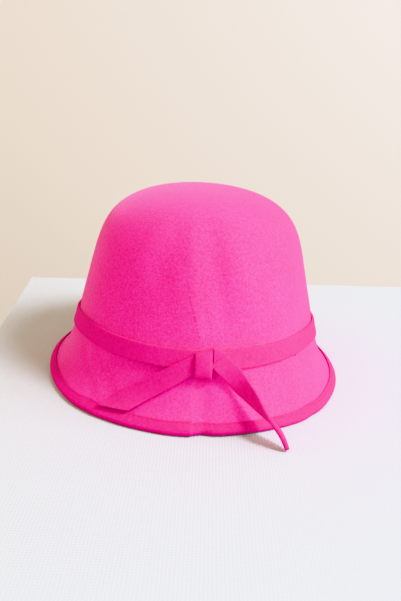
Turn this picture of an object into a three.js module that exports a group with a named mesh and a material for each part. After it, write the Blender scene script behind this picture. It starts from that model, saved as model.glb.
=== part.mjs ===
// Cloche hat of pressed felt, resting brim down: a felt body with a bound edge, and a narrow
// felt strip that runs round the foot of the crown and is tied in a knot at the front.
// Millimetres, +Z up, front towards -Y. The origin is on the surface that the hat rests on,
// under the middle of the whole hat.

import * as THREE from 'three';
import { mergeVertices } from 'three/addons/utils/BufferGeometryUtils.js';

// Driving dimensions
const FELT = 2.0; // wall of the crown and brim
const GAP = 0.3; // clearance between neighbouring pieces
const BINDING = 1.0; // thickness of the strip folded over the brim's edge
const BINDING_OUTER_LEG = 4.4; // how far the binding reaches up the outside of the brim
const BINDING_INNER_LEG = 4.0;
const OVERLAP_ANGLE = -89.4; // place of the binding's lapped joint
const OVERLAP_REACH = 7; // degrees of the upper end of the lap
const OVERLAP_RISE = 0.9; // how far the upper end stands proud
const REST_HALF = 1.2; // half the width of the binding's flat underside
const STRIP = 1.8; // thickness of the band, knot and tails
const BAND_LOW = 35.5;
const BAND_HIGH = 47.5;
const BAND_BACK_DROP = 9; // the band runs lower round the back
const BRIM_DEPTH_RATIO = 1.115; // depth from front to back over width
const CROWN_DEPTH_RATIO = 1.17;
const BRIM_FORWARD = 3; // the brim's oval is set this far in front of the crown's
const BLEND_HEIGHT = 40; // the brim's oval turns into the crown's up to here

// Outer surface of the felt, from the brim's edge to the top of the crown
const PROFILE = [
  { halfWidth: 105.1, height: 3.0 },
  { halfWidth: 101.0, height: 6.7 },
  { halfWidth: 97.2, height: 11 },
  { halfWidth: 93.1, height: 18 },
  { halfWidth: 89.9, height: 26 },
  { halfWidth: 87.2, height: 34 },
  { halfWidth: 85.3, height: 42 },
  { halfWidth: 83.7, height: 50 },
  { halfWidth: 80.1, height: 65 },
  { halfWidth: 76.4, height: 80 },
  { halfWidth: 72.6, height: 94 },
  { halfWidth: 68.7, height: 104 },
  { halfWidth: 63.4, height: 112.4 },
  { halfWidth: 56.0, height: 119.2 },
  { halfWidth: 45.3, height: 125 },
  { halfWidth: 30.4, height: 129.3 },
  { halfWidth: 15.0, height: 131.2 },
  { halfWidth: 0, height: 131.7 },
];

// Soft folds in the felt: a groove, or a ridge where the depth is below zero, between two
// places given by their angle round the hat and their height
const FOLDS = [
  { fromAngle: -95.5, fromHeight: 118, toAngle: -87, toHeight: 56, halfWidth: 4.5, depth: -0.8 },
  { fromAngle: -84, fromHeight: 121, toAngle: -77.5, toHeight: 64, halfWidth: 6, depth: 1.1 },
  { fromAngle: -76, fromHeight: 119, toAngle: -64, toHeight: 72, halfWidth: 9, depth: -1.0 },
  { fromAngle: -105, fromHeight: 113, toAngle: -114, toHeight: 70, halfWidth: 12, depth: 1.4 },
  { fromAngle: 0, fromHeight: 68, toAngle: 0, toHeight: 40, halfWidth: 32, depth: 1.2 },
  { fromAngle: -135, fromHeight: 108, toAngle: -132, toHeight: 74, halfWidth: 16, depth: 0.7 },
  { fromAngle: -85.4, fromHeight: 28, toAngle: -85.4, toHeight: 0, halfWidth: 4.6, depth: 1.9 },
  { fromAngle: -97.5, fromHeight: 24, toAngle: -97.5, toHeight: 4, halfWidth: 6, depth: -0.5 },
  { fromAngle: -27, fromHeight: 27, toAngle: -43, toHeight: 6, halfWidth: 6, depth: 1.0 },
  { fromAngle: -144, fromHeight: 27, toAngle: -129, toHeight: 8, halfWidth: 5, depth: 0.9 },
  { fromAngle: -134, fromHeight: 32, toAngle: -120, toHeight: 9, halfWidth: 5, depth: 0.8 },
];

// Places where the brim stands off its even oval: out (push) or up (lift) at its edge
const BRIM_BENDS = [
  { angle: -76, spread: 15, push: 0, lift: 1.2 },
  { angle: -44, spread: 14, push: 2.6, lift: 0 },
  { angle: -132, spread: 12, push: 1.6, lift: 0 },
  { angle: -168, spread: 13, push: -0.8, lift: 0 },
  { angle: 12, spread: 24, push: -2.4, lift: 0 },
];

// Left tail, lying on the brim: both edges by x and height, and how far each lies off the felt
const TAIL_LEFT = [
  { upperX: 5.4, upperZ: 43.4, upperLift: 2.45, lowerX: 5.4, lowerZ: 33.6, lowerLift: 2.45 },
  { upperX: 1.4, upperZ: 43.6, upperLift: 2.45, lowerX: 1.4, lowerZ: 33.2, lowerLift: 2.45 },
  { upperX: -1.2, upperZ: 43.8, upperLift: 2.5, lowerX: -0.2, lowerZ: 32.3, lowerLift: 2.4 },
  { upperX: -13.7, upperZ: 36.7, upperLift: 2.6, lowerX: -8.6, lowerZ: 26.6, lowerLift: 1.2 },
  { upperX: -24, upperZ: 30.2, upperLift: 1.5, lowerX: -18.4, lowerZ: 20.3, lowerLift: 0.6 },
  { upperX: -35, upperZ: 22.9, upperLift: 0.7, lowerX: -28.5, lowerZ: 13.6, lowerLift: 0.8 },
  { upperX: -47, upperZ: 14.3, upperLift: 0.8, lowerX: -34.5, lowerZ: 9.6, lowerLift: 1.8 },
  { upperX: -58, upperZ: 5.2, upperLift: 1.9, lowerX: -37.9, lowerZ: 7.2, lowerLift: 1.9 },
];

// Right tail: its middle line, its turn from lying flat (0) to standing on edge (90), its width
const TAIL_RIGHT = [
  { x: 14.5, y: -101.8, z: 43.6, turn: 0, width: 11.4 },
  { x: 17.2, y: -102.4, z: 40.8, turn: 3, width: 12 },
  { x: 24.4, y: -103.4, z: 34.5, turn: 14, width: 12 },
  { x: 30.5, y: -105.4, z: 27.8, turn: 36, width: 12 },
  { x: 36.6, y: -108.8, z: 22.6, turn: 54, width: 12 },
  { x: 41.4, y: -113.2, z: 18.5, turn: 72, width: 12 },
  { x: 45.6, y: -118.2, z: 15.4, turn: 79, width: 12 },
  { x: 49.8, y: -123.0, z: 12.6, turn: 80, width: 11.5 },
  { x: 53.8, y: -127.0, z: 8.8, turn: 80, width: 9 },
  { x: 56.5, y: -130.4, z: 4.4, turn: 82, width: 6 },
  { x: 57.9, y: -132.2, z: 1.4, turn: 84, width: 2.8 },
];
const TAIL_LINE_TENSION = 0.5;
const TAIL_OUTWARD = new THREE.Vector3(0.25, -0.93, 0.27).normalize();

// Knot at the front: an upright turn of the strip, by its low and high edges and how far its
// face stands off the felt, and a folded corner at its right, by how far it lies off the felt
const WRAP_EDGES = [
  { x: 1.2, low: 31.0, high: 45.7, face: 5.9 },
  { x: 2.6, low: 30.4, high: 46.3, face: 6.4 },
  { x: 6.5, low: 29.9, high: 47.4, face: 6.8 },
  { x: 10.4, low: 29.0, high: 49.0, face: 6.6 },
  { x: 12.1, low: 29.2, high: 49.8, face: 6.0 },
];
const WRAP_INNER = 4.7; // how far the wrap's inner face stands off the felt
const WRAP_WALL = 1.3; // the strip is drawn thinner where it turns over the top and bottom
const WRAP_CURVE = 1.4; // size of the wrap's rounded edges
const WRAP_CORNER = 0.5; // size of the rounding inside it
const FOLD_THINNING = 0.4;
const FOLD_EDGES = [
  { x: 12.4, low: 40.8, high: 50.0, under: 4.6 },
  { x: 15.0, low: 42.6, high: 49.0, under: 4.6 },
  { x: 17.4, low: 44.6, high: 47.9, under: 4.6 },
  { x: 19.6, low: 45.9, high: 47.1, under: 4.5 },
];

const FRONT_STEPS = 34; // closer steps over the front, where the folds are
const BACK_STEPS = 46;
const FRONT_HALF_ANGLE = 42;
const PROFILE_STEPS = 22;
const TOP_FADE = 30; // the folds die out within this half width of the top

const radians = THREE.MathUtils.degToRad;
const lerp = THREE.MathUtils.lerp;
const bell = (distance, reach) => Math.exp(-((distance / reach) ** 2));
const turnBetween = (from, to) => THREE.MathUtils.euclideanModulo(to - from + 180, 360) - 180;

// The profile runs on over the top to its mirror image, so that the crown's top is level
const mirrored = PROFILE.slice(0, -1).reverse();
const profileCurve = new THREE.CatmullRomCurve3([
  ...PROFILE.map((row) => new THREE.Vector3(row.halfWidth, 0, row.height)),
  ...mirrored.map((row) => new THREE.Vector3(-row.halfWidth, 0, row.height)),
], false, 'centripetal');

// A place on the profile, with the outward normal in the profile's plane
function profilePlace(t) {
  const point = profileCurve.getPoint(t);
  const tangent = profileCurve.getTangent(t);
  return { halfWidth: point.x, height: point.z, outH: tangent.z, outZ: -tangent.x };
}

// Places at even distances from the edge to the top
function evenPlaces(steps) {
  const places = [];
  for (let i = 0; i <= steps; i += 1) {
    places.push(profilePlace(profileCurve.getUtoTmapping((0.5 * i) / steps)));
  }
  const top = places[steps];
  top.halfWidth = 0;
  top.outH = 0;
  top.outZ = 1;
  return places;
}

function placeAtHeight(height) {
  let low = 0;
  let high = 0.5;
  for (let i = 0; i < 40; i += 1) {
    const middle = (low + high) / 2;
    if (profileCurve.getPoint(middle).z < height) {
      low = middle;
    } else {
      high = middle;
    }
  }
  return profilePlace(low);
}

// Inward displacement by the folds
function foldDepth(angle, height, halfWidth) {
  let depth = 0;
  for (const fold of FOLDS) {
    const along = (height - fold.fromHeight) / (fold.toHeight - fold.fromHeight);
    const held = THREE.MathUtils.clamp(along, 0, 1);
    const beyond = (along - held) * (fold.toHeight - fold.fromHeight);
    const middle = lerp(fold.fromAngle, fold.toAngle, held);
    const across = radians(turnBetween(middle, angle)) * halfWidth;
    depth += fold.depth * bell(across, fold.halfWidth) * bell(beyond, fold.halfWidth);
  }
  return depth;
}

function brimBend(angle, height) {
  const fade = THREE.MathUtils.clamp(1 - height / BAND_LOW, 0, 1) ** 1.5;
  let push = 0;
  let lift = 0;
  for (const bend of BRIM_BENDS) {
    const weight = fade * bell(turnBetween(bend.angle, angle), bend.spread);
    push += bend.push * weight;
    lift += bend.lift * weight;
  }
  return { push, lift };
}

// A point of the hat from its place on the profile, at a distance off the felt's outer surface
function onHat(angle, place, off) {
  const halfWidth = place.halfWidth + off * place.outH;
  const height = place.height + off * place.outZ;
  return oval(angle, halfWidth, height, place.height);
}

// A point by its half width and height, bent as the felt is at the felt's own height there
function oval(angle, halfWidth, height, feltHeight) {
  const blend = Math.min(1, feltHeight / BLEND_HEIGHT);
  const ratio = lerp(BRIM_DEPTH_RATIO, CROWN_DEPTH_RATIO, blend);
  const bend = brimBend(angle, feltHeight);
  const nearTop = Math.min(1, halfWidth / TOP_FADE);
  const shift = nearTop * (bend.push - foldDepth(angle, feltHeight, halfWidth));
  const turn = radians(angle);
  const x = (halfWidth + shift) * Math.cos(turn);
  const y = (halfWidth * ratio + shift) * Math.sin(turn) - BRIM_FORWARD * (1 - blend);
  return new THREE.Vector3(x, y, height + bend.lift);
}

// A point of the hat's front, by its x, the felt's height and the distance off the felt
function onFront(x, height, off) {
  const place = placeAtHeight(height);
  const reach = place.halfWidth + off * place.outH;
  return onHat(-THREE.MathUtils.radToDeg(Math.acos(x / reach)), place, off);
}

// Angles round the hat, with the closer steps at the front
function anglesAround(extra = []) {
  const angles = [];
  for (let i = 0; i < FRONT_STEPS; i += 1) {
    angles.push(-90 - FRONT_HALF_ANGLE + (2 * FRONT_HALF_ANGLE * i) / FRONT_STEPS);
  }
  for (let i = 0; i < BACK_STEPS; i += 1) {
    angles.push(-90 + FRONT_HALF_ANGLE + ((360 - 2 * FRONT_HALF_ANGLE) * i) / BACK_STEPS);
  }
  return [...angles, ...extra].sort((a, b) => a - b);
}

// One closed body through sections that hold the same number of points. A ring's last section
// joins its first, and other bodies have flat ends. An open section starts and ends on the axis.
function loft(sections, { ring = false, openSection = false } = {}) {
  const count = sections[0].length;
  const indices = [];
  const spans = ring ? sections.length : sections.length - 1;
  const sides = openSection ? count - 1 : count;
  for (let i = 0; i < spans; i += 1) {
    const next = (i + 1) % sections.length;
    for (let j = 0; j < sides; j += 1) {
      const k = (j + 1) % count;
      indices.push(i * count + j, next * count + j, next * count + k);
      indices.push(i * count + j, next * count + k, i * count + k);
    }
  }
  if (!ring) {
    const last = (sections.length - 1) * count;
    for (const [a, b, c] of endTriangles(sections[0])) {
      indices.push(a, b, c);
    }
    for (const [a, b, c] of endTriangles(sections.at(-1))) {
      indices.push(last + a, last + c, last + b);
    }
  }
  return closedGeometry(sections.flat(), indices);
}

// Triangles over a section, worked out in the plane that faces it
function endTriangles(section) {
  const normal = new THREE.Vector3();
  section.forEach((point, i) => {
    normal.add(new THREE.Vector3().crossVectors(point, section[(i + 1) % section.length]));
  });
  const facing = new THREE.Quaternion().setFromUnitVectors(
    normal.normalize(),
    new THREE.Vector3(0, 0, 1),
  );
  const flat = section.map((point) => point.clone().applyQuaternion(facing));
  const outline = flat.map((point) => new THREE.Vector2(point.x, point.y));
  return THREE.ShapeUtils.triangulateShape(outline, []);
}

// Shared vertices, no empty triangles, and faces that point out
function closedGeometry(points, indices) {
  const raw = new THREE.BufferGeometry();
  const positions = points.flatMap((point) => [point.x, point.y, point.z]);
  raw.setAttribute('position', new THREE.Float32BufferAttribute(positions, 3));
  raw.setIndex(indices);
  const geometry = mergeVertices(raw, 1e-4);
  const merged = Array.from(geometry.index.array);
  const kept = [];
  let volume = 0;
  const corners = [new THREE.Vector3(), new THREE.Vector3(), new THREE.Vector3()];
  for (let i = 0; i < merged.length; i += 3) {
    const [a, b, c] = merged.slice(i, i + 3);
    if (a !== b && b !== c && c !== a) {
      kept.push([a, b, c]);
      [a, b, c].forEach((vertex, j) => {
        corners[j].fromBufferAttribute(geometry.attributes.position, vertex);
      });
      volume += corners[0].dot(corners[1].cross(corners[2]));
    }
  }
  geometry.setIndex(kept.flatMap(([a, b, c]) => (volume > 0 ? [a, b, c] : [a, c, b])));
  geometry.computeVertexNormals();
  return geometry;
}

// Catmull-Rom value of a named column, at a place counted in rows
function columnAt(rows, column, t) {
  const i = Math.min(Math.floor(t), rows.length - 2);
  const f = t - i;
  const value = (k) => rows[THREE.MathUtils.clamp(k, 0, rows.length - 1)][column];
  const [a, b, c, d] = [value(i - 1), value(i), value(i + 1), value(i + 2)];
  const bend = 2 * a - 5 * b + 4 * c - d + (3 * b - a - 3 * c + d) * f;
  return b + 0.5 * f * (c - a + f * bend);
}

function stationsOf(rows, perRow) {
  const steps = (rows.length - 1) * perRow;
  return Array.from({ length: steps + 1 }, (_, i) => i / perRow);
}

// Crown and brim: the outer surface down to the edge, then the inner surface back to the top
function hatBodyGeometry() {
  const places = evenPlaces(PROFILE_STEPS).reverse();
  const sections = anglesAround().map((angle) => [
    ...places.map((place) => onHat(angle, place, 0)),
    ...places.map((place) => onHat(angle, place, -FELT)).reverse(),
  ]);
  return loft(sections, { ring: true, openSection: true });
}

// Section of the binding: outer leg, bend round the felt's edge, inner leg, and back inside it
function bindingSection(angle, rise) {
  const edge = profilePlace(0);
  const length = profileCurve.getLength();
  const outerTop = profilePlace(profileCurve.getUtoTmapping(BINDING_OUTER_LEG / length));
  const innerTop = profilePlace(profileCurve.getUtoTmapping(BINDING_INNER_LEG / length));
  const clear = GAP + BINDING;
  const bend = (radius, degrees) => {
    const along = radius * Math.sin(radians(degrees));
    const out = radius * Math.cos(radians(degrees)) - FELT / 2;
    const halfWidth = edge.halfWidth + out * edge.outH + along * edge.outZ;
    const height = edge.height + out * edge.outZ - along * edge.outH;
    return oval(angle, halfWidth, height, edge.height);
  };
  const outerRadius = FELT / 2 + clear;
  const innerRadius = FELT / 2 + GAP;
  const middle = edge.halfWidth - (FELT / 2) * edge.outH;
  return [
    onHat(angle, outerTop, clear + rise),
    onHat(angle, edge, clear + rise),
    ...[28, 56, 84].map((turn) => bend(outerRadius + rise, turn)),
    oval(angle, middle + REST_HALF, 0, edge.height),
    oval(angle, middle - REST_HALF, 0, edge.height),
    onHat(angle, innerTop, -FELT - clear),
    onHat(angle, innerTop, -FELT - GAP),
    ...[180, 135, 90, 45, 0].map((turn) => bend(innerRadius, turn)),
    onHat(angle, outerTop, GAP),
  ];
}

// The upper end of the lapped joint rises towards its cut, which is a sudden step
function overlapRise(angle) {
  const back = OVERLAP_ANGLE - angle;
  if (back < 0 || back > OVERLAP_REACH) {
    return 0;
  }
  return OVERLAP_RISE * (1 - back / OVERLAP_REACH) ** 0.5;
}

function brimBindingGeometry() {
  const angles = anglesAround([OVERLAP_ANGLE, OVERLAP_ANGLE + 0.15]);
  const sections = angles.map((angle) => bindingSection(angle, overlapRise(angle)));
  return loft(sections, { ring: true });
}

// The band is level over the front and drops behind the sides
function bandDrop(angle) {
  return BAND_BACK_DROP * THREE.MathUtils.smoothstep(Math.sin(radians(angle)), -0.6, 0.4);
}

function hatBandGeometry() {
  const sections = anglesAround().map((angle) => {
    const low = placeAtHeight(BAND_LOW - bandDrop(angle));
    const middle = placeAtHeight((BAND_LOW + BAND_HIGH) / 2 - bandDrop(angle));
    const high = placeAtHeight(BAND_HIGH - bandDrop(angle));
    return [
      onHat(angle, low, GAP),
      onHat(angle, low, GAP + STRIP),
      onHat(angle, high, GAP + STRIP),
      onHat(angle, high, GAP),
      onHat(angle, middle, GAP),
    ];
  });
  return loft(sections, { ring: true });
}

// The wrap's foot is on the felt below the band, and its top is tucked down onto the band
function knotWrapGeometry() {
  const topFoot = GAP + STRIP + GAP;
  const lowMiddle = WRAP_INNER / 2;
  const highMiddle = (topFoot + WRAP_INNER) / 2;
  const sections = WRAP_EDGES.map(({ x, low, high, face }) => {
    const shoulder = (WRAP_INNER + face) / 2;
    return [
      onFront(x, high - WRAP_CORNER, topFoot),
      onFront(x, high, highMiddle),
      onFront(x, high - WRAP_CORNER, shoulder),
      onFront(x, high - 2 * WRAP_CURVE, face),
      onFront(x, low + 2 * WRAP_CURVE, face),
      onFront(x, low + WRAP_CORNER, shoulder),
      onFront(x, low, lowMiddle),
      onFront(x, low + WRAP_CORNER, GAP),
      onFront(x, low + WRAP_CORNER + WRAP_WALL, GAP),
      onFront(x, low + WRAP_WALL, lowMiddle),
      onFront(x, low + WRAP_WALL + WRAP_CORNER, WRAP_INNER),
      onFront(x, high - WRAP_WALL - WRAP_CORNER, WRAP_INNER),
      onFront(x, high - WRAP_WALL, highMiddle),
      onFront(x, high - WRAP_WALL - WRAP_CORNER, topFoot),
    ];
  });
  return loft(sections);
}

// The folded corner is thinner along its edges
function knotFoldGeometry() {
  const sections = FOLD_EDGES.map(({ x, low, high, under }) => [
    onFront(x, low, under),
    onFront(x, low, under + STRIP - FOLD_THINNING),
    onFront(x, (low + high) / 2, under + STRIP),
    onFront(x, high, under + STRIP - FOLD_THINNING),
    onFront(x, high, under),
  ]);
  return loft(sections);
}

function tailLeftGeometry() {
  const across = [0, 0.25, 0.5, 0.75, 1];
  const sections = stationsOf(TAIL_LEFT, 2).map((t) => {
    const value = (column) => columnAt(TAIL_LEFT, column, t);
    const point = (f, extra) => onFront(
      lerp(value('lowerX'), value('upperX'), f),
      lerp(value('lowerZ'), value('upperZ'), f),
      lerp(value('lowerLift'), value('upperLift'), f) + extra,
    );
    return [
      ...across.map((f) => point(f, 0)),
      ...across.map((f) => point(f, STRIP)).reverse(),
    ];
  });
  return loft(sections);
}

function tailRightGeometry() {
  const line = new THREE.CatmullRomCurve3(
    TAIL_RIGHT.map(({ x, y, z }) => new THREE.Vector3(x, y, z)),
    false,
    'catmullrom',
    TAIL_LINE_TENSION,
  );
  const sections = stationsOf(TAIL_RIGHT, 2).map((t) => {
    const along = line.getTangent(t / (TAIL_RIGHT.length - 1));
    const centre = line.getPoint(t / (TAIL_RIGHT.length - 1));
    const out = TAIL_OUTWARD.clone().addScaledVector(along, -TAIL_OUTWARD.dot(along)).normalize();
    const side = new THREE.Vector3().crossVectors(out, along);
    const turn = radians(columnAt(TAIL_RIGHT, 'turn', t));
    const wide = side.multiplyScalar(Math.cos(turn)).addScaledVector(out, Math.sin(turn));
    const thick = new THREE.Vector3().crossVectors(along, wide);
    const half = columnAt(TAIL_RIGHT, 'width', t) / 2;
    const point = (w, d) => centre.clone()
      .addScaledVector(wide, w * half)
      .addScaledVector(thick, (d * STRIP) / 2);
    return [point(-1, -1), point(0, -1), point(1, -1), point(1, 1), point(0, 1), point(-1, 1)];
  });
  return loft(sections);
}

function feltMaterial(color) {
  return new THREE.MeshStandardMaterial({ color, roughness: 0.95, metalness: 0 });
}

function piece(name, geometry, color) {
  const mesh = new THREE.Mesh(geometry, feltMaterial(color));
  mesh.name = name;
  return mesh;
}

const hat = new THREE.Group();
hat.add(piece('hat_body', hatBodyGeometry(), 0xf8409f));
hat.add(piece('brim_binding', brimBindingGeometry(), 0xf22a8c));
hat.add(piece('hat_band', hatBandGeometry(), 0xf42c8e));
hat.add(piece('knot_wrap', knotWrapGeometry(), 0xf63c98));
hat.add(piece('knot_fold', knotFoldGeometry(), 0xf847a2));
hat.add(piece('tail_left', tailLeftGeometry(), 0xf42f90));
hat.add(piece('tail_right', tailRightGeometry(), 0xf63c98));

// The hat's oval is set so that the middle of the whole box is over the origin
const box = new THREE.Box3().setFromObject(hat);
hat.position.set(-(box.min.x + box.max.x) / 2, -(box.min.y + box.max.y) / 2, 0);

export default hat;
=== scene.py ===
import math

import bmesh
import bpy
import numpy as np
from mathutils import Matrix, Vector


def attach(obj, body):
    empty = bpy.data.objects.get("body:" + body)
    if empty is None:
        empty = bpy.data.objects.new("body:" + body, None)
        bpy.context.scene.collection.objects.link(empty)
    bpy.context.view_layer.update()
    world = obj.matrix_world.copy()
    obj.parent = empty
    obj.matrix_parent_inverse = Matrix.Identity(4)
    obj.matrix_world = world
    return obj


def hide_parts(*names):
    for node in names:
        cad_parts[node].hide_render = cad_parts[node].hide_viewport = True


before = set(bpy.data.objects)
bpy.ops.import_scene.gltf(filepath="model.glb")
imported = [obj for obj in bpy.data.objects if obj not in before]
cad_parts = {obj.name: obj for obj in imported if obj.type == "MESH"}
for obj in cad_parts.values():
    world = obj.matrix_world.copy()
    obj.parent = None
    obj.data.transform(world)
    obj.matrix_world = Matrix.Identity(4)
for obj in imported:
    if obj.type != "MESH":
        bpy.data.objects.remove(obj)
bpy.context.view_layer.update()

# The hat's lengths are millimetres about the crown's axis, and angles are degrees round it,
# -90 at the front. placed() turns them into metres in the model's frame.
MM = 0.001
FELT = 2.0
GAP = 0.3
STRIP = 1.8

# Crown and brim
BRIM_DEPTH_RATIO = 1.115
CROWN_DEPTH_RATIO = 1.17
BRIM_FORWARD = 3
BLEND_HEIGHT = 40
TOP_FADE = 30
PROFILE_STEPS = 60
BODY_TURN = 1.2
OUTER_STEPS = 121
INNER_STEPS = 61

# (half width, height) of the felt's outer surface
PROFILE = (
    (105.1, 3.0), (101.0, 6.7), (97.2, 11), (93.1, 18), (89.9, 26), (87.2, 34), (85.3, 42),
    (83.7, 50), (80.1, 65), (76.4, 80), (72.6, 94), (68.7, 104), (63.4, 112.4), (56.0, 119.2),
    (45.3, 125), (30.4, 129.3), (15.0, 131.2), (0, 131.7),
)

# Soft folds: (from angle, from height, to angle, to height, half width, depth)
FOLDS = (
    (-95.5, 118, -88, 56, 4.5, -0.8),
    (-98, 86, -93, 58, 8, -0.8),
    (-84, 121, -77.5, 64, 6, 1.1),
    (-76, 119, -64, 72, 9, -1.0),
    (-104, 114, -108, 90, 9, 1.3),
    (0, 68, 0, 40, 32, 1.2),
    (-135, 108, -132, 74, 16, 0.7),
    (-85.4, 29, -85.4, 0, 5.4, 2.2),
    (-97.5, 24, -97.5, 4, 6, -0.5),
    (-27, 27, -43, 6, 6, 1.0),
    (-144, 27, -129, 8, 5, 0.9),
    (-134, 32, -120, 9, 5, 0.8),
)

# Places where the brim stands off its even oval: (angle, spread, push out, lift)
BRIM_BENDS = (
    (-76, 15, 0, 1.2),
    (-44, 14, 2.6, 0),
    (-132, 12, 1.6, 0),
    (-168, 13, -0.8, 0),
    (12, 24, -2.4, 0),
)

# Binding, folded over the brim's edge, with a lapped joint at the front
BINDING = 1.0
BINDING_OUTER_LEG = 4.6
BINDING_INNER_LEG = 4.0
LONG_END = 1.3
LONG_END_FADE = (36, 52)
LAP_ANGLE = -89.4
LAP_REACH = 7
LAP_RISE = 0.9
REST_HALF = 1.2
BINDING_TURN = 0.9

# Its outer leg's lip: (past the leg's end, off the felt, share of the lap's rise)
LIP = ((0, GAP + 0.4, 0), (0.02, GAP + 0.6, 0.4),
       (-0.12, GAP + BINDING - 0.15, 1), (-0.4, GAP + BINDING, 1))

# The groove of its seam: (from the seam, below the leg's face), and the stitches in it
SEAM_INSET = 1.5
SEAM_DEPTH = 0.3
SEAM_GROOVE = ((0.6, 0.02), (0.3, 0.18), (0, SEAM_DEPTH), (-0.3, 0.18), (-0.6, 0))
STITCH_PITCH = 3.1
STITCH_LONG = 2.2
STITCH_RADIUS = 0.3

# Two faint rows of dark thread up the front of the crown, laid along its creases as painted
# shade, and one tack at the band
CREASE_SHADE_PITCH = 2.3
CREASE_SHADE_LONG = 1.5
BAND_TACK_RADIUS = 0.45

# Rings of one stitch: (share of its length, share of its radius, lift in radii)
THREAD_RINGS = ((0, 0.35, -0.7), (0.14, 0.85, 0), (0.5, 1, 0.35), (0.86, 0.85, 0),
                (1, 0.35, -0.7))
THREAD_SIDES = 6

# Band round the foot of the crown, lower at the back
BAND_LOW = 35.5
BAND_HIGH = 47.5
BAND_BACK_DROP = 9

# Left tail: (upper x, upper z, upper lift, lower x, lower z, lower lift)
TAIL_LEFT = (
    (5.4, 43.4, 2.45, 5.4, 33.6, 2.45),
    (1.4, 43.6, 2.45, 1.4, 33.2, 2.45),
    (-1.2, 43.8, 2.5, -0.2, 32.3, 2.4),
    (-13.7, 36.7, 2.6, -8.6, 26.6, 1.2),
    (-24, 30.2, 1.5, -18.4, 20.3, 0.6),
    (-35, 22.9, 0.7, -28.5, 13.6, 0.8),
    (-47, 14.3, 0.8, -34.5, 9.6, 1.8),
    (-58, 5.2, 1.9, -37.9, 7.2, 1.9),
)
TAIL_LEFT_STEPS = 71

# Right tail: (x, y, z, turn, width) of its middle line
TAIL_RIGHT = (
    (14.5, -101.8, 43.6, 0, 11.4),
    (17.2, -102.4, 40.8, 3, 12),
    (24.4, -103.4, 34.5, 14, 12),
    (30.5, -105.4, 27.8, 36, 12),
    (36.6, -108.8, 22.6, 55, 12),
    (41.4, -113.2, 18.5, 75, 12),
    (45.6, -118.2, 15.4, 90, 12),
    (49.8, -123.0, 12.6, 104, 11.5),
    (53.8, -127.0, 8.8, 111, 9),
    (56.5, -130.4, 4.4, 114, 6),
    (57.9, -132.2, 1.4, 114, 3.2),
)
TAIL_RIGHT_STEPS = 91
TAIL_OUTWARD = np.array((0.25, -0.93, 0.27))
TAIL_SMOOTHING = 14
TAIL_WIDTH = 12

# Its end is rolled a little thicker, between these shares of its length
TAIL_PUFF = 0.8
TAIL_PUFF_OVER = (0.5, 0.78)

# Knot: (x, low, high, face) of the upright turn, and (x, low, high, under) of the corner
WRAP_EDGES = ((1.2, 31.0, 45.7, 5.9), (2.6, 30.4, 46.3, 6.4), (6.5, 29.9, 47.4, 6.8),
              (10.4, 29.0, 49.0, 6.6), (12.1, 29.2, 49.8, 6.0))
WRAP_INNER = 4.7
WRAP_WALL = 1.3
WRAP_TOP_FOOT = GAP + STRIP + GAP
WRAP_STEPS = 49
WRAP_OUTSIDE = (41, 0.42)
WRAP_INSIDE = (31, 0.3)
WRAP_SIDE_ROUND = 0.45
WRAP_SIDE_SHARE = 0.08
FOLD_EDGES = ((12.4, 40.8, 50.0, 4.6), (15.0, 42.6, 49.0, 4.6), (17.4, 44.6, 47.9, 4.6),
              (19.6, 45.9, 47.1, 4.5))
FOLD_STEPS = 25

# The crown's axis stands at the body's highest point
top_vertex = max(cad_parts["hat_body"].data.vertices, key=lambda v: v.co.z)
AXIS = np.array((top_vertex.co.x, top_vertex.co.y, 0.0))


def placed(points):
    """Millimetres about the crown's axis to metres in the model's frame."""
    return np.asarray(points, float) * MM + AXIS


def lerp(a, b, f):
    return a + (b - a) * f


def smoothstep(x, low, high):
    f = np.clip((x - low) / (high - low), 0, 1)
    return f * f * (3 - 2 * f)


def turn_between(a, b):
    return (b - a + 180) % 360 - 180


def centripetal(rows, steps):
    """Points on a smooth curve through the rows, paced by the root of their distances."""
    rows = np.array(rows, float)
    rows = np.vstack([2 * rows[0] - rows[1], rows, 2 * rows[-1] - rows[-2]])
    out = []
    for i in range(1, len(rows) - 2):
        p0, p1, p2, p3 = rows[i - 1:i + 3]
        d0, d1, d2 = (math.sqrt(np.linalg.norm(b - a))
                      for a, b in ((p0, p1), (p1, p2), (p2, p3)))
        t1 = ((p1 - p0) / d0 - (p2 - p0) / (d0 + d1) + (p2 - p1) / d1) * d1
        t2 = ((p2 - p1) / d1 - (p3 - p1) / (d1 + d2) + (p3 - p2) / d2) * d1
        for k in range(steps):
            w = k / steps
            out.append(p1 + t1 * w + (-3 * p1 + 3 * p2 - 2 * t1 - t2) * w ** 2
                       + (2 * p1 - 2 * p2 + t1 + t2) * w ** 3)
    out.append(rows[-2])
    return np.array(out)


def column(rows, index, t):
    """Smooth value of a column of the rows, at a place counted in rows."""
    values = np.array([row[index] for row in rows], float)
    i = min(int(t), len(rows) - 2)
    f = t - i
    a, b, c, d = (values[min(max(i + k, 0), len(rows) - 1)] for k in (-1, 0, 1, 2))
    return b + 0.5 * f * (c - a + f * (2 * a - 5 * b + 4 * c - d + (3 * b - a - 3 * c + d) * f))


# The profile and its mirror image, so that the top is level, then its first half
profile_points = centripetal(PROFILE + tuple((-w, h) for w, h in PROFILE[-2::-1]),
                             PROFILE_STEPS)
profile_points = profile_points[:PROFILE_STEPS * (len(PROFILE) - 1) + 1]
profile_steps = np.linalg.norm(np.diff(profile_points, axis=0), axis=1)
PROFILE_S = np.concatenate([[0], np.cumsum(profile_steps)])
PROFILE_LENGTH = PROFILE_S[-1]
tangents = np.gradient(profile_points, PROFILE_S, axis=0)
tangents /= np.linalg.norm(tangents, axis=1)[:, None]
tangents[-1] = (-1, 0)


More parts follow.
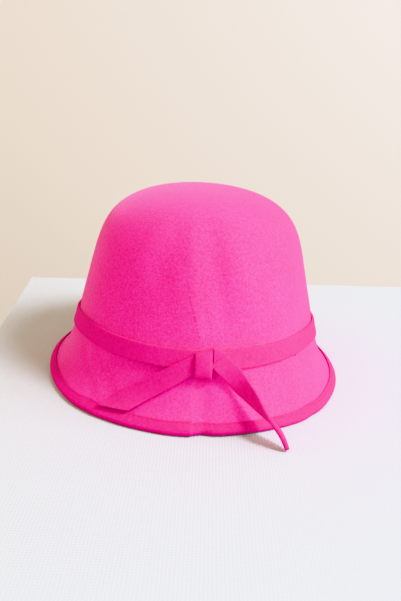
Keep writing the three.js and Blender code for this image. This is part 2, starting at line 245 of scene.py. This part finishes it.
def place(s):
    """Half width, height and outward normal at a distance along the profile from the edge."""
    s = np.asarray(s, float)
    return [np.interp(s, PROFILE_S, values) for values in
            (profile_points[:, 0], profile_points[:, 1], tangents[:, 1], -tangents[:, 0])]


def length_at(height):
    return np.interp(height, profile_points[:, 1], PROFILE_S)


def fold_depth(angle, height, half_width):
    """How deep the soft folds press the felt in."""
    depth = np.zeros(np.broadcast(angle, height, half_width).shape)
    for a0, h0, a1, h1, reach, deep in FOLDS:
        along = (height - h0) / (h1 - h0)
        held = np.clip(along, 0, 1)
        beyond = (along - held) * (h1 - h0)
        across = np.radians(turn_between(lerp(a0, a1, held), angle)) * half_width
        depth = depth + deep * np.exp(-(across / reach) ** 2) * np.exp(-(beyond / reach) ** 2)
    return depth


def brim_bend(angle, height):
    """How far the brim is pushed out and lifted."""
    fade = np.clip(1 - height / BAND_LOW, 0, 1) ** 1.5
    push, lift = 0, 0
    for at, spread, out, up in BRIM_BENDS:
        weight = fade * np.exp(-(turn_between(at, angle) / spread) ** 2)
        push = push + out * weight
        lift = lift + up * weight
    return push, lift


def oval(angle, half_width, height, felt_height):
    """Points about the crown's axis, from the angle, half width and height."""
    angle, half_width, height, felt_height = np.broadcast_arrays(
        *(np.asarray(v, float) for v in (angle, half_width, height, felt_height)))
    blend = np.minimum(1, felt_height / BLEND_HEIGHT)
    ratio = lerp(BRIM_DEPTH_RATIO, CROWN_DEPTH_RATIO, blend)
    push, lift = brim_bend(angle, felt_height)
    near_top = np.minimum(1, half_width / TOP_FADE)
    shift = near_top * (push - fold_depth(angle, felt_height, half_width))
    turn = np.radians(angle)
    x = (half_width + shift) * np.cos(turn)
    y = (half_width * ratio + shift) * np.sin(turn) - BRIM_FORWARD * (1 - blend)
    return np.stack([x, y, height + lift], axis=-1)


def on_hat(angle, s, off):
    """Points off the felt, from the angle, the distance along the profile and the lift."""
    half_width, height, out_h, out_z = place(s)
    return oval(angle, half_width + off * out_h, height + off * out_z, height)


def on_front(x, height, off):
    """Points off the felt's front, from the sideways place, the height and the lift."""
    s = length_at(height)
    half_width, _, out_h, _ = place(s)
    angle = -np.degrees(np.arccos(np.clip(x / (half_width + off * out_h), -1, 1)))
    return on_hat(angle, s, off)


def rounded(width, thick, power, count):
    """Outline of a soft-edged strip's section: (across, off) columns."""
    t = np.arange(count) * 2 * math.pi / count
    c, s = np.cos(t), np.sin(t)
    return np.stack([np.sign(c) * np.abs(c) ** (2 / power) * width / 2,
                     np.sign(s) * np.abs(s) ** (2 / power) * thick / 2], -1)


def loft_mesh(name, sections, ring=False):
    """One mesh through sections, an array of sections x points x 3."""
    sections = np.asarray(sections, float)
    rows, count = sections.shape[:2]
    i = np.arange(rows if ring else rows - 1)[:, None]
    j = np.arange(count)[None, :]
    n, k = (i + 1) % rows, (j + 1) % count
    quads = np.stack([i * count + j, n * count + j, n * count + k, i * count + k], -1)
    faces = quads.reshape(-1, 4).tolist()
    if not ring:
        faces.append(list(range(count)))
        faces.append([(rows - 1) * count + c for c in range(count)][::-1])
    mesh = bpy.data.meshes.new(name)
    mesh.from_pydata(placed(sections.reshape(-1, 3)).tolist(), [], faces)
    work = bmesh.new()
    work.from_mesh(mesh)
    bmesh.ops.remove_doubles(work, verts=work.verts, dist=2e-6)
    bmesh.ops.recalc_face_normals(work, faces=work.faces)
    work.to_mesh(mesh)
    work.free()
    return mesh


def added(name, data):
    """A new object in the scene."""
    piece = bpy.data.objects.new(name, data)
    bpy.context.scene.collection.objects.link(piece)
    return piece


def finished(name, mesh, material, nodes):
    """A piece of the hat, with its material, its place in the part and what it stands for."""
    piece = added(name, mesh)
    mesh.polygons.foreach_set("use_smooth", [True] * len(mesh.polygons))
    mesh.materials.append(material)
    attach(piece, "root")
    if nodes:
        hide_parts(*nodes)
    return piece


def plain_material(name, roughness, specular):
    material = bpy.data.materials.new(name)
    material.use_nodes = True
    shader = material.node_tree.nodes["Principled BSDF"]
    shader.inputs["Roughness"].default_value = roughness
    shader.inputs["Specular IOR Level"].default_value = specular
    return material, shader


def add_node(material, kind, inputs):
    """A node whose inputs are given as values or as other nodes' outputs."""
    tree = material.node_tree
    node = tree.nodes.new(kind)
    for name, value in inputs.items():
        if isinstance(value, bpy.types.NodeSocket):
            tree.links.new(value, node.inputs[name])
        else:
            node.inputs[name].default_value = value
    return node


def color_between(material, shader, tone, stops):
    """The base colour from a tone, through stops of (position, colour)."""
    ramp = add_node(material, "ShaderNodeValToRGB", {"Fac": tone})
    for element, (position, color) in zip(ramp.color_ramp.elements, stops):
        element.position = position
        element.color = (*color, 1)
    material.node_tree.links.new(ramp.outputs["Color"], shader.inputs["Base Color"])


def relief(material, shader, height, strength, distance):
    bump = add_node(material, "ShaderNodeBump",
                    {"Strength": strength, "Distance": distance, "Height": height})
    material.node_tree.links.new(bump.outputs["Normal"], shader.inputs["Normal"])


def felt(name, deep, light, sheen, grain, bump):
    """Pressed wool felt: mottled colour, matted fibres in the bump, and a fuzzy sheen."""
    material, shader = plain_material(name, 0.92, 0.12)
    shader.inputs["Sheen Weight"].default_value = sheen
    shader.inputs["Sheen Roughness"].default_value = 0.38
    shader.inputs["Sheen Tint"].default_value = (1.0, 0.80, 1.0, 1)
    where = add_node(material, "ShaderNodeTexCoord", {}).outputs["Object"]

    def noise(scale, detail, rough, distort):
        return add_node(material, "ShaderNodeTexNoise", {
            "Scale": scale, "Detail": detail, "Roughness": rough, "Distortion": distort,
            "Vector": where}).outputs["Fac"]

    def mixed(a, b, share):
        return add_node(material, "ShaderNodeMix",
                        {"Factor": share, "A": a, "B": b}).outputs["Result"]

    patches = noise(28, 3, 0.5, 0.0)
    clumps = noise(grain, 5, 0.65, 0.6)
    fibres = noise(grain * 3.4, 3, 0.7, 1.2)
    matted = mixed(clumps, fibres, 0.4)
    color_between(material, shader, mixed(matted, patches, 0.14), ((0.41, deep), (0.59, light)))
    relief(material, shader, matted, bump, 0.0006)
    return material


# Felts: deep and light colour, sheen, grain, bump
body_felt = felt("body_felt", (0.74, 0.002, 0.19), (1.0, 0.016, 0.45), 0.5, 700, 1.0)
binding_felt = felt("binding_felt", (0.56, 0.002, 0.15), (0.70, 0.006, 0.22), 0.08, 520, 0.8)
strip_felt = felt("strip_felt", (0.62, 0.002, 0.17), (0.76, 0.006, 0.25), 0.10, 520, 0.8)
thread = felt("thread", (0.62, 0.004, 0.11), (0.75, 0.010, 0.16), 0.2, 1500, 0.5)

# Body: the outer surface from the edge to the top, then the inner one back
angles = np.arange(0, 360, BODY_TURN)[:, None]
outer_s = np.linspace(0, PROFILE_LENGTH, OUTER_STEPS)[None, :]
inner_s = np.linspace(PROFILE_LENGTH, 0, INNER_STEPS)[None, :]
body_sections = np.concatenate([on_hat(angles, outer_s, 0), on_hat(angles, inner_s, -FELT)], 1)
finished("felt_body", loft_mesh("felt_body", body_sections, ring=True), body_felt,
         ["hat_body"])

# Binding
edge_w, edge_h, edge_oh, edge_oz = (float(v) for v in place(0))


def behind_lap(angle):
    return (LAP_ANGLE - angle) % 360


def lap_rise(angle):
    """How far the binding's upper end stands off its lower one."""
    back = behind_lap(angle)
    return LAP_RISE * (1 - back / LAP_REACH) ** 0.5 if back < LAP_REACH else 0.0


def outer_leg(angle):
    """How far the binding's outer leg reaches up: further on the lap's upper end."""
    return float(BINDING_OUTER_LEG
                 + LONG_END * (1 - smoothstep(behind_lap(angle), *LONG_END_FADE)))


def edge_bend(angle, radius, degrees):
    """A point round the felt's edge, from its outer face at 0 degrees to its inner one."""
    along = radius * math.sin(math.radians(degrees))
    out = radius * math.cos(math.radians(degrees)) - FELT / 2
    half_width = edge_w + out * edge_oh + along * edge_oz
    height = edge_h + out * edge_oz - along * edge_oh
    return oval(angle, half_width, height, edge_h)


def binding_section(angle):
    rise = lap_rise(angle)
    leg = outer_leg(angle)
    seam = leg - SEAM_INSET
    clear = GAP + BINDING
    rows = [(leg + past, off + share * rise) for past, off, share in LIP]
    rows += [(seam + past, clear - below + rise) for past, below in SEAM_GROOVE]
    rows += [(s, clear + rise) for s in np.linspace(seam - 1.2, 0, 4)]
    points = [on_hat(angle, s, off) for s, off in rows]
    points += [edge_bend(angle, FELT / 2 + clear + rise * (1 - turn / 200), turn)
               for turn in (16, 32, 48, 64, 80, 94)]
    middle = edge_w - (FELT / 2) * edge_oh
    points += [oval(angle, middle + side, 0, edge_h) for side in (REST_HALF, 0, -REST_HALF)]
    points += [on_hat(angle, s, -FELT - clear) for s in (0.9, 2.4, BINDING_INNER_LEG - 0.2)]
    points.append(on_hat(angle, BINDING_INNER_LEG, -FELT - clear + 0.3))
    points.append(on_hat(angle, BINDING_INNER_LEG, -FELT - GAP))
    points += [edge_bend(angle, FELT / 2 + GAP, turn)
               for turn in (180, 150, 120, 90, 60, 30, 0)]
    return np.array(points)


binding_angles = np.sort(np.concatenate([
    np.arange(LAP_ANGLE - 360 + 0.2, LAP_ANGLE - 0.1, BINDING_TURN),
    [LAP_ANGLE - 0.1, LAP_ANGLE]]))
binding = finished(
    "edge_binding",
    loft_mesh("edge_binding", [binding_section(a) for a in binding_angles], ring=True),
    binding_felt, ["brim_binding"])


def add_thread(mesh, a, b, up, radius):
    """A short thread from a to b that dips at its ends."""
    a, b, up = (Vector(v) for v in (a, b, up))
    along = (b - a).normalized()
    side = along.cross(up).normalized()
    turns = [k * 2 * math.pi / THREAD_SIDES for k in range(THREAD_SIDES)]
    rings = []
    for f, size, lift in THREAD_RINGS:
        centre = a.lerp(b, f) + up * (lift * radius)
        rings.append([mesh.verts.new(centre + side * (math.cos(t) * radius * size)
                                     + up * (math.sin(t) * radius * size)) for t in turns])
    for r, q in zip(rings, rings[1:]):
        for k in range(THREAD_SIDES):
            n = (k + 1) % THREAD_SIDES
            mesh.faces.new((r[k], r[n], q[n], q[k]))
    mesh.faces.new(rings[0][::-1])
    mesh.faces.new(rings[-1])


def stitched(name, mesh):
    data = bpy.data.meshes.new(name)
    mesh.to_mesh(data)
    mesh.free()
    return finished(name, data, thread, [])


# Machine stitches in the binding's groove
def seam_point(angle, off):
    depth = GAP + BINDING - SEAM_DEPTH + lap_rise(angle) + off
    return placed(on_hat(angle, outer_leg(angle) - SEAM_INSET, depth))


binding_threads = bmesh.new()
angle = LAP_ANGLE - 360 + 1.0
while angle < LAP_ANGLE - 1.2:
    here = seam_point(angle, 0)
    per_degree = float(np.linalg.norm(seam_point(angle + 1, 0) - here)) / MM
    end = angle + STITCH_LONG / per_degree
    up = Vector(seam_point((angle + end) / 2, 1) - seam_point((angle + end) / 2, 0))
    add_thread(binding_threads, here, seam_point(end, 0), up.normalized(), STITCH_RADIUS * MM)
    angle += STITCH_PITCH / per_degree
stitches = stitched("binding_stitches", binding_threads)

# Rows of dark thread along the crown's creases, as painted crease shade: (from angle, from
# height, to angle, to height, thread radius) of the rows
CREASE_SHADE_ROWS = ((-93.0, 79.1, -87.6, 54.3, 0.24), (-86.2, 79.3, -82.5, 56.1, 0.17))
BAND_TACK = (-40.5, BAND_LOW - 0.3, -40.2, BAND_LOW - 1.6)


def crown_thread_point(row, f, off):
    return placed(on_hat(lerp(row[0], row[2], f), length_at(lerp(row[1], row[3], f)), off))


# Darker thread that paints the shade of the crown's creases, and the band's tack
crease_shade_and_tack_threads = bmesh.new()
for row in CREASE_SHADE_ROWS:
    long = abs(row[1] - row[3])
    for f in np.arange(0, 1, CREASE_SHADE_PITCH / long):
        start, end = crown_thread_point(row, f, 0), crown_thread_point(row, f + CREASE_SHADE_LONG / long, 0)
        up = Vector(crown_thread_point(row, f, 1) - crown_thread_point(row, f, 0)).normalized()
        add_thread(crease_shade_and_tack_threads, start, end, up, row[4] * MM)
add_thread(crease_shade_and_tack_threads, crown_thread_point(BAND_TACK, 0, 1.2), crown_thread_point(BAND_TACK, 1, 0.3),
           Vector((0.6, -0.7, 0.3)).normalized(), BAND_TACK_RADIUS * MM)
stitched("crease_shade_and_band_tack", crease_shade_and_tack_threads)

# Band
band_outline = rounded(BAND_HIGH - BAND_LOW, STRIP, power=7.0, count=36)
band_angles = np.arange(0, 360, 1.0)
band_drop = BAND_BACK_DROP * smoothstep(np.sin(np.radians(band_angles)), -0.6, 0.4)
band_middle = (BAND_LOW + BAND_HIGH) / 2 - band_drop
band_slope = (length_at(BAND_HIGH) - length_at(BAND_LOW)) / (BAND_HIGH - BAND_LOW)
band_s = length_at(band_middle)[:, None] + band_outline[None, :, 0] * band_slope
band_sections = on_hat(band_angles[:, None], band_s,
                       GAP + STRIP / 2 + band_outline[None, :, 1])
band = finished("crown_band", loft_mesh("crown_band", band_sections, ring=True), strip_felt,
                ["hat_band"])

# Left tail, lying on the brim
unit = rounded(1, 1, power=6.0, count=32)
left_sections = []
for t in np.linspace(0, len(TAIL_LEFT) - 1, TAIL_LEFT_STEPS):
    ux, uz, ul, lx, lz, ll = (column(TAIL_LEFT, k, t) for k in range(6))
    f = unit[:, 0] + 0.5
    left_sections.append(on_front(lerp(lx, ux, f), lerp(lz, uz, f),
                                  lerp(ll, ul, f) + STRIP * (unit[:, 1] + 0.5)))
tail_left = finished("tail_laid", loft_mesh("tail_laid", left_sections), strip_felt,
                     ["tail_left"])

# Right tail, which turns on edge and comes down to the surface
outward = TAIL_OUTWARD / np.linalg.norm(TAIL_OUTWARD)
places = np.linspace(0, len(TAIL_RIGHT) - 1, TAIL_RIGHT_STEPS)
line = np.array([[column(TAIL_RIGHT, k, t) for k in range(5)] for t in places])
for _ in range(TAIL_SMOOTHING):
    line[1:-1] = 0.25 * line[:-2] + 0.5 * line[1:-1] + 0.25 * line[2:]
along = np.gradient(line[:, :3], axis=0)
along /= np.linalg.norm(along, axis=1)[:, None]
right_sections = []
for share, (x, y, z, turn, width), t in zip(np.linspace(0, 1, len(line)), line, along):
    out = outward - t * outward.dot(t)
    out /= np.linalg.norm(out)
    side = np.cross(out, t)
    wide = side * math.cos(math.radians(turn)) + out * math.sin(math.radians(turn))
    thick = np.cross(t, wide)
    puffed = STRIP + TAIL_PUFF * smoothstep(share, *TAIL_PUFF_OVER)
    shape = rounded(width, puffed, power=2.4 + 3 * min(1, width / TAIL_WIDTH), count=28)
    right_sections.append(np.array((x, y, z)) + shape[:, :1] * wide + shape[:, 1:] * thick)
tail_right = finished("tail_hanging", loft_mesh("tail_hanging", right_sections), strip_felt,
                      ["tail_right"])


# Knot: an upright turn of the strip over the band, and a folded corner beside it
def turn_arc(start, stop, arc, middle, half, top):
    """Height and lift of points over the band, on one side of the turn's wall."""
    count, power = arc
    rows = []
    for a in np.linspace(start, stop, count):
        c, s = math.cos(a), math.sin(a)
        foot = WRAP_TOP_FOOT if c > 0 else GAP
        rows.append((middle + half * np.sign(c) * abs(c) ** power,
                     foot + (top - foot) * abs(s) ** power))
    return rows


turn_sections = []
for t in np.linspace(0, len(WRAP_EDGES) - 1, WRAP_STEPS):
    x, low, high, face = (column(WRAP_EDGES, k, t) for k in range(4))
    at_side = max(0, abs(t / (len(WRAP_EDGES) - 1) - 0.5) - 0.5 + WRAP_SIDE_SHARE)
    at_side /= WRAP_SIDE_SHARE
    trim = WRAP_SIDE_ROUND * (1 - math.sqrt(max(0, 1 - at_side ** 2)))
    middle, half = (low + high) / 2, (high - low) / 2
    ring = turn_arc(0, math.pi, WRAP_OUTSIDE, middle, half - trim, face - trim)
    ring += turn_arc(math.pi, 0, WRAP_INSIDE, middle, half - WRAP_WALL + trim, WRAP_INNER)
    heights, offs = np.array(ring).T
    turn_sections.append(on_front(x, heights, offs))
finished("knot_turn", loft_mesh("knot_turn", turn_sections), strip_felt,
         ["knot_wrap"])

corner_outline = rounded(1, 1, power=4.5, count=24)
corner_sections = []
for t in np.linspace(0, len(FOLD_EDGES) - 1, FOLD_STEPS):
    x, low, high, under = (column(FOLD_EDGES, k, t) for k in range(4))
    corner_sections.append(on_front(x, (low + high) / 2 + corner_outline[:, 0] * (high - low),
                                    under + STRIP * (corner_outline[:, 1] + 0.5)))
finished("knot_corner", loft_mesh("knot_corner", corner_sections), strip_felt,
         ["knot_fold"])


def staged_mesh(name, points, faces, material):
    mesh = bpy.data.meshes.new(name)
    mesh.from_pydata(points, [], faces)
    mesh.materials.append(material)
    return added(name, mesh)


# Table, with its left back corner behind the hat, in a pale cloth of fine threads both ways
TABLE_CORNERS = ((-171, 192.3), (900, 300), (900, -1100), (-84, -1100))
TABLE_THICK = 0.03
TABLE_WEAVE = 170  # about 1.8 mm from thread to thread
cloth, cloth_shader = plain_material("pale_table", 0.85, 0.2)
cloth_where = add_node(cloth, "ShaderNodeTexCoord", {}).outputs["Object"]
cloth_noise = add_node(cloth, "ShaderNodeTexNoise", {"Scale": 300, "Vector": cloth_where})
color_between(cloth, cloth_shader, cloth_noise.outputs["Fac"],
              ((0, (0.465, 0.487, 0.448)), (1, (0.505, 0.527, 0.488))))
weave = []
for direction in ("X", "Y"):
    threads = add_node(cloth, "ShaderNodeTexWave", {
        "Scale": TABLE_WEAVE, "Distortion": 1.5, "Vector": cloth_where})
    threads.bands_direction = direction
    weave.append(threads.outputs["Fac"])
crossed = add_node(cloth, "ShaderNodeMath", {0: weave[0], 1: weave[1]})
crossed.operation = "ADD"
relief(cloth, cloth_shader, crossed.outputs["Value"], 0.25, 0.0003)
table_points = [(x * MM + AXIS[0], y * MM + AXIS[1], z) for z in (0.0, -TABLE_THICK)
                for x, y in TABLE_CORNERS]
table_top = staged_mesh("table_top", table_points,
                        [(3, 2, 1, 0), (4, 5, 6, 7), (0, 1, 5, 4), (1, 2, 6, 5),
                         (2, 3, 7, 6), (3, 0, 4, 7)], cloth)

# Pale wall, well behind
WALL_BACK = 1.0
WALL_HALF = 3
WALL_LOW = -1
WALL_HIGH = 2.5
plaster, plaster_shader = plain_material("pale_wall", 0.95, 0.1)
plaster_shader.inputs["Base Color"].default_value = (0.59, 0.565, 0.485, 1)
wall_points = [(x, WALL_BACK, z) for x, z in (
    (-WALL_HALF, WALL_LOW), (WALL_HALF, WALL_LOW), (WALL_HALF, WALL_HIGH),
    (-WALL_HALF, WALL_HIGH))]
back_wall = staged_mesh("back_wall", wall_points, [(0, 1, 2, 3)], plaster)

# Light: a lamp and a broad window at the right, weaker light from the front and the left, and
# an even pale room
ROOM_COLOR = (0.95, 0.76, 0.56, 1)
ROOM_STRENGTH = 0.86
LIGHT_AIM = Vector(AXIS) + Vector((0, 0, 0.06))
world = bpy.data.worlds.new("room")
bpy.context.scene.world = world
world.use_nodes = True
room = world.node_tree.nodes["Background"]
room.inputs["Color"].default_value = ROOM_COLOR
room.inputs["Strength"].default_value = ROOM_STRENGTH


def lamp(name, direction, distance, size, power, color):
    """A round lamp at a distance from the hat, turned to it. Metres and watts."""
    light = bpy.data.lights.new(name, "AREA")
    light.shape = "DISK"
    light.size = size
    light.energy = power
    light.color = color
    holder = added(name, light)
    aim = Vector(direction).normalized()
    holder.location = LIGHT_AIM + aim * distance
    holder.rotation_mode = "QUATERNION"
    holder.rotation_quaternion = aim.to_track_quat("Z", "Y")


lamp("key", (0.60, -0.32, 0.74), 1.6, 0.45, 30, (0.84, 0.92, 1.22))
lamp("window", (0.92, -0.22, 0.38), 1.9, 1.7, 44, (0.84, 0.92, 1.22))
lamp("front_fill", (-0.30, -0.72, 0.62), 1.9, 1.8, 6, (0.98, 0.92, 0.92))
lamp("reflector", (-0.93, 0.05, 0.36), 1.9, 2.0, 9.5, (1.0, 0.92, 0.86))

# Camera at the photograph's place, its angles in degrees
CAMERA_PLACE = (2.5, -494.7, 206.8)
CAMERA_DOWN = 17.89
CAMERA_ROLL = 3.23
FOCAL_PIXELS = 700
IMAGE_HIGH = 601
SENSOR = 36
camera_data = bpy.data.cameras.new("camera")
camera_data.sensor_fit = "AUTO"
camera_data.sensor_width = SENSOR
camera_data.lens = FOCAL_PIXELS / IMAGE_HIGH * SENSOR
camera_data.clip_start = 0.01
camera = added("camera", camera_data)
tilt = Matrix.Rotation(math.radians(90 - CAMERA_DOWN), 4, "X")
roll = Matrix.Rotation(math.radians(CAMERA_ROLL), 4, "Z")
camera.matrix_world = Matrix.Translation(Vector(placed(CAMERA_PLACE))) @ tilt @ roll
bpy.context.scene.camera = camera
bpy.context.scene.view_settings.view_transform = "Khronos PBR Neutral"
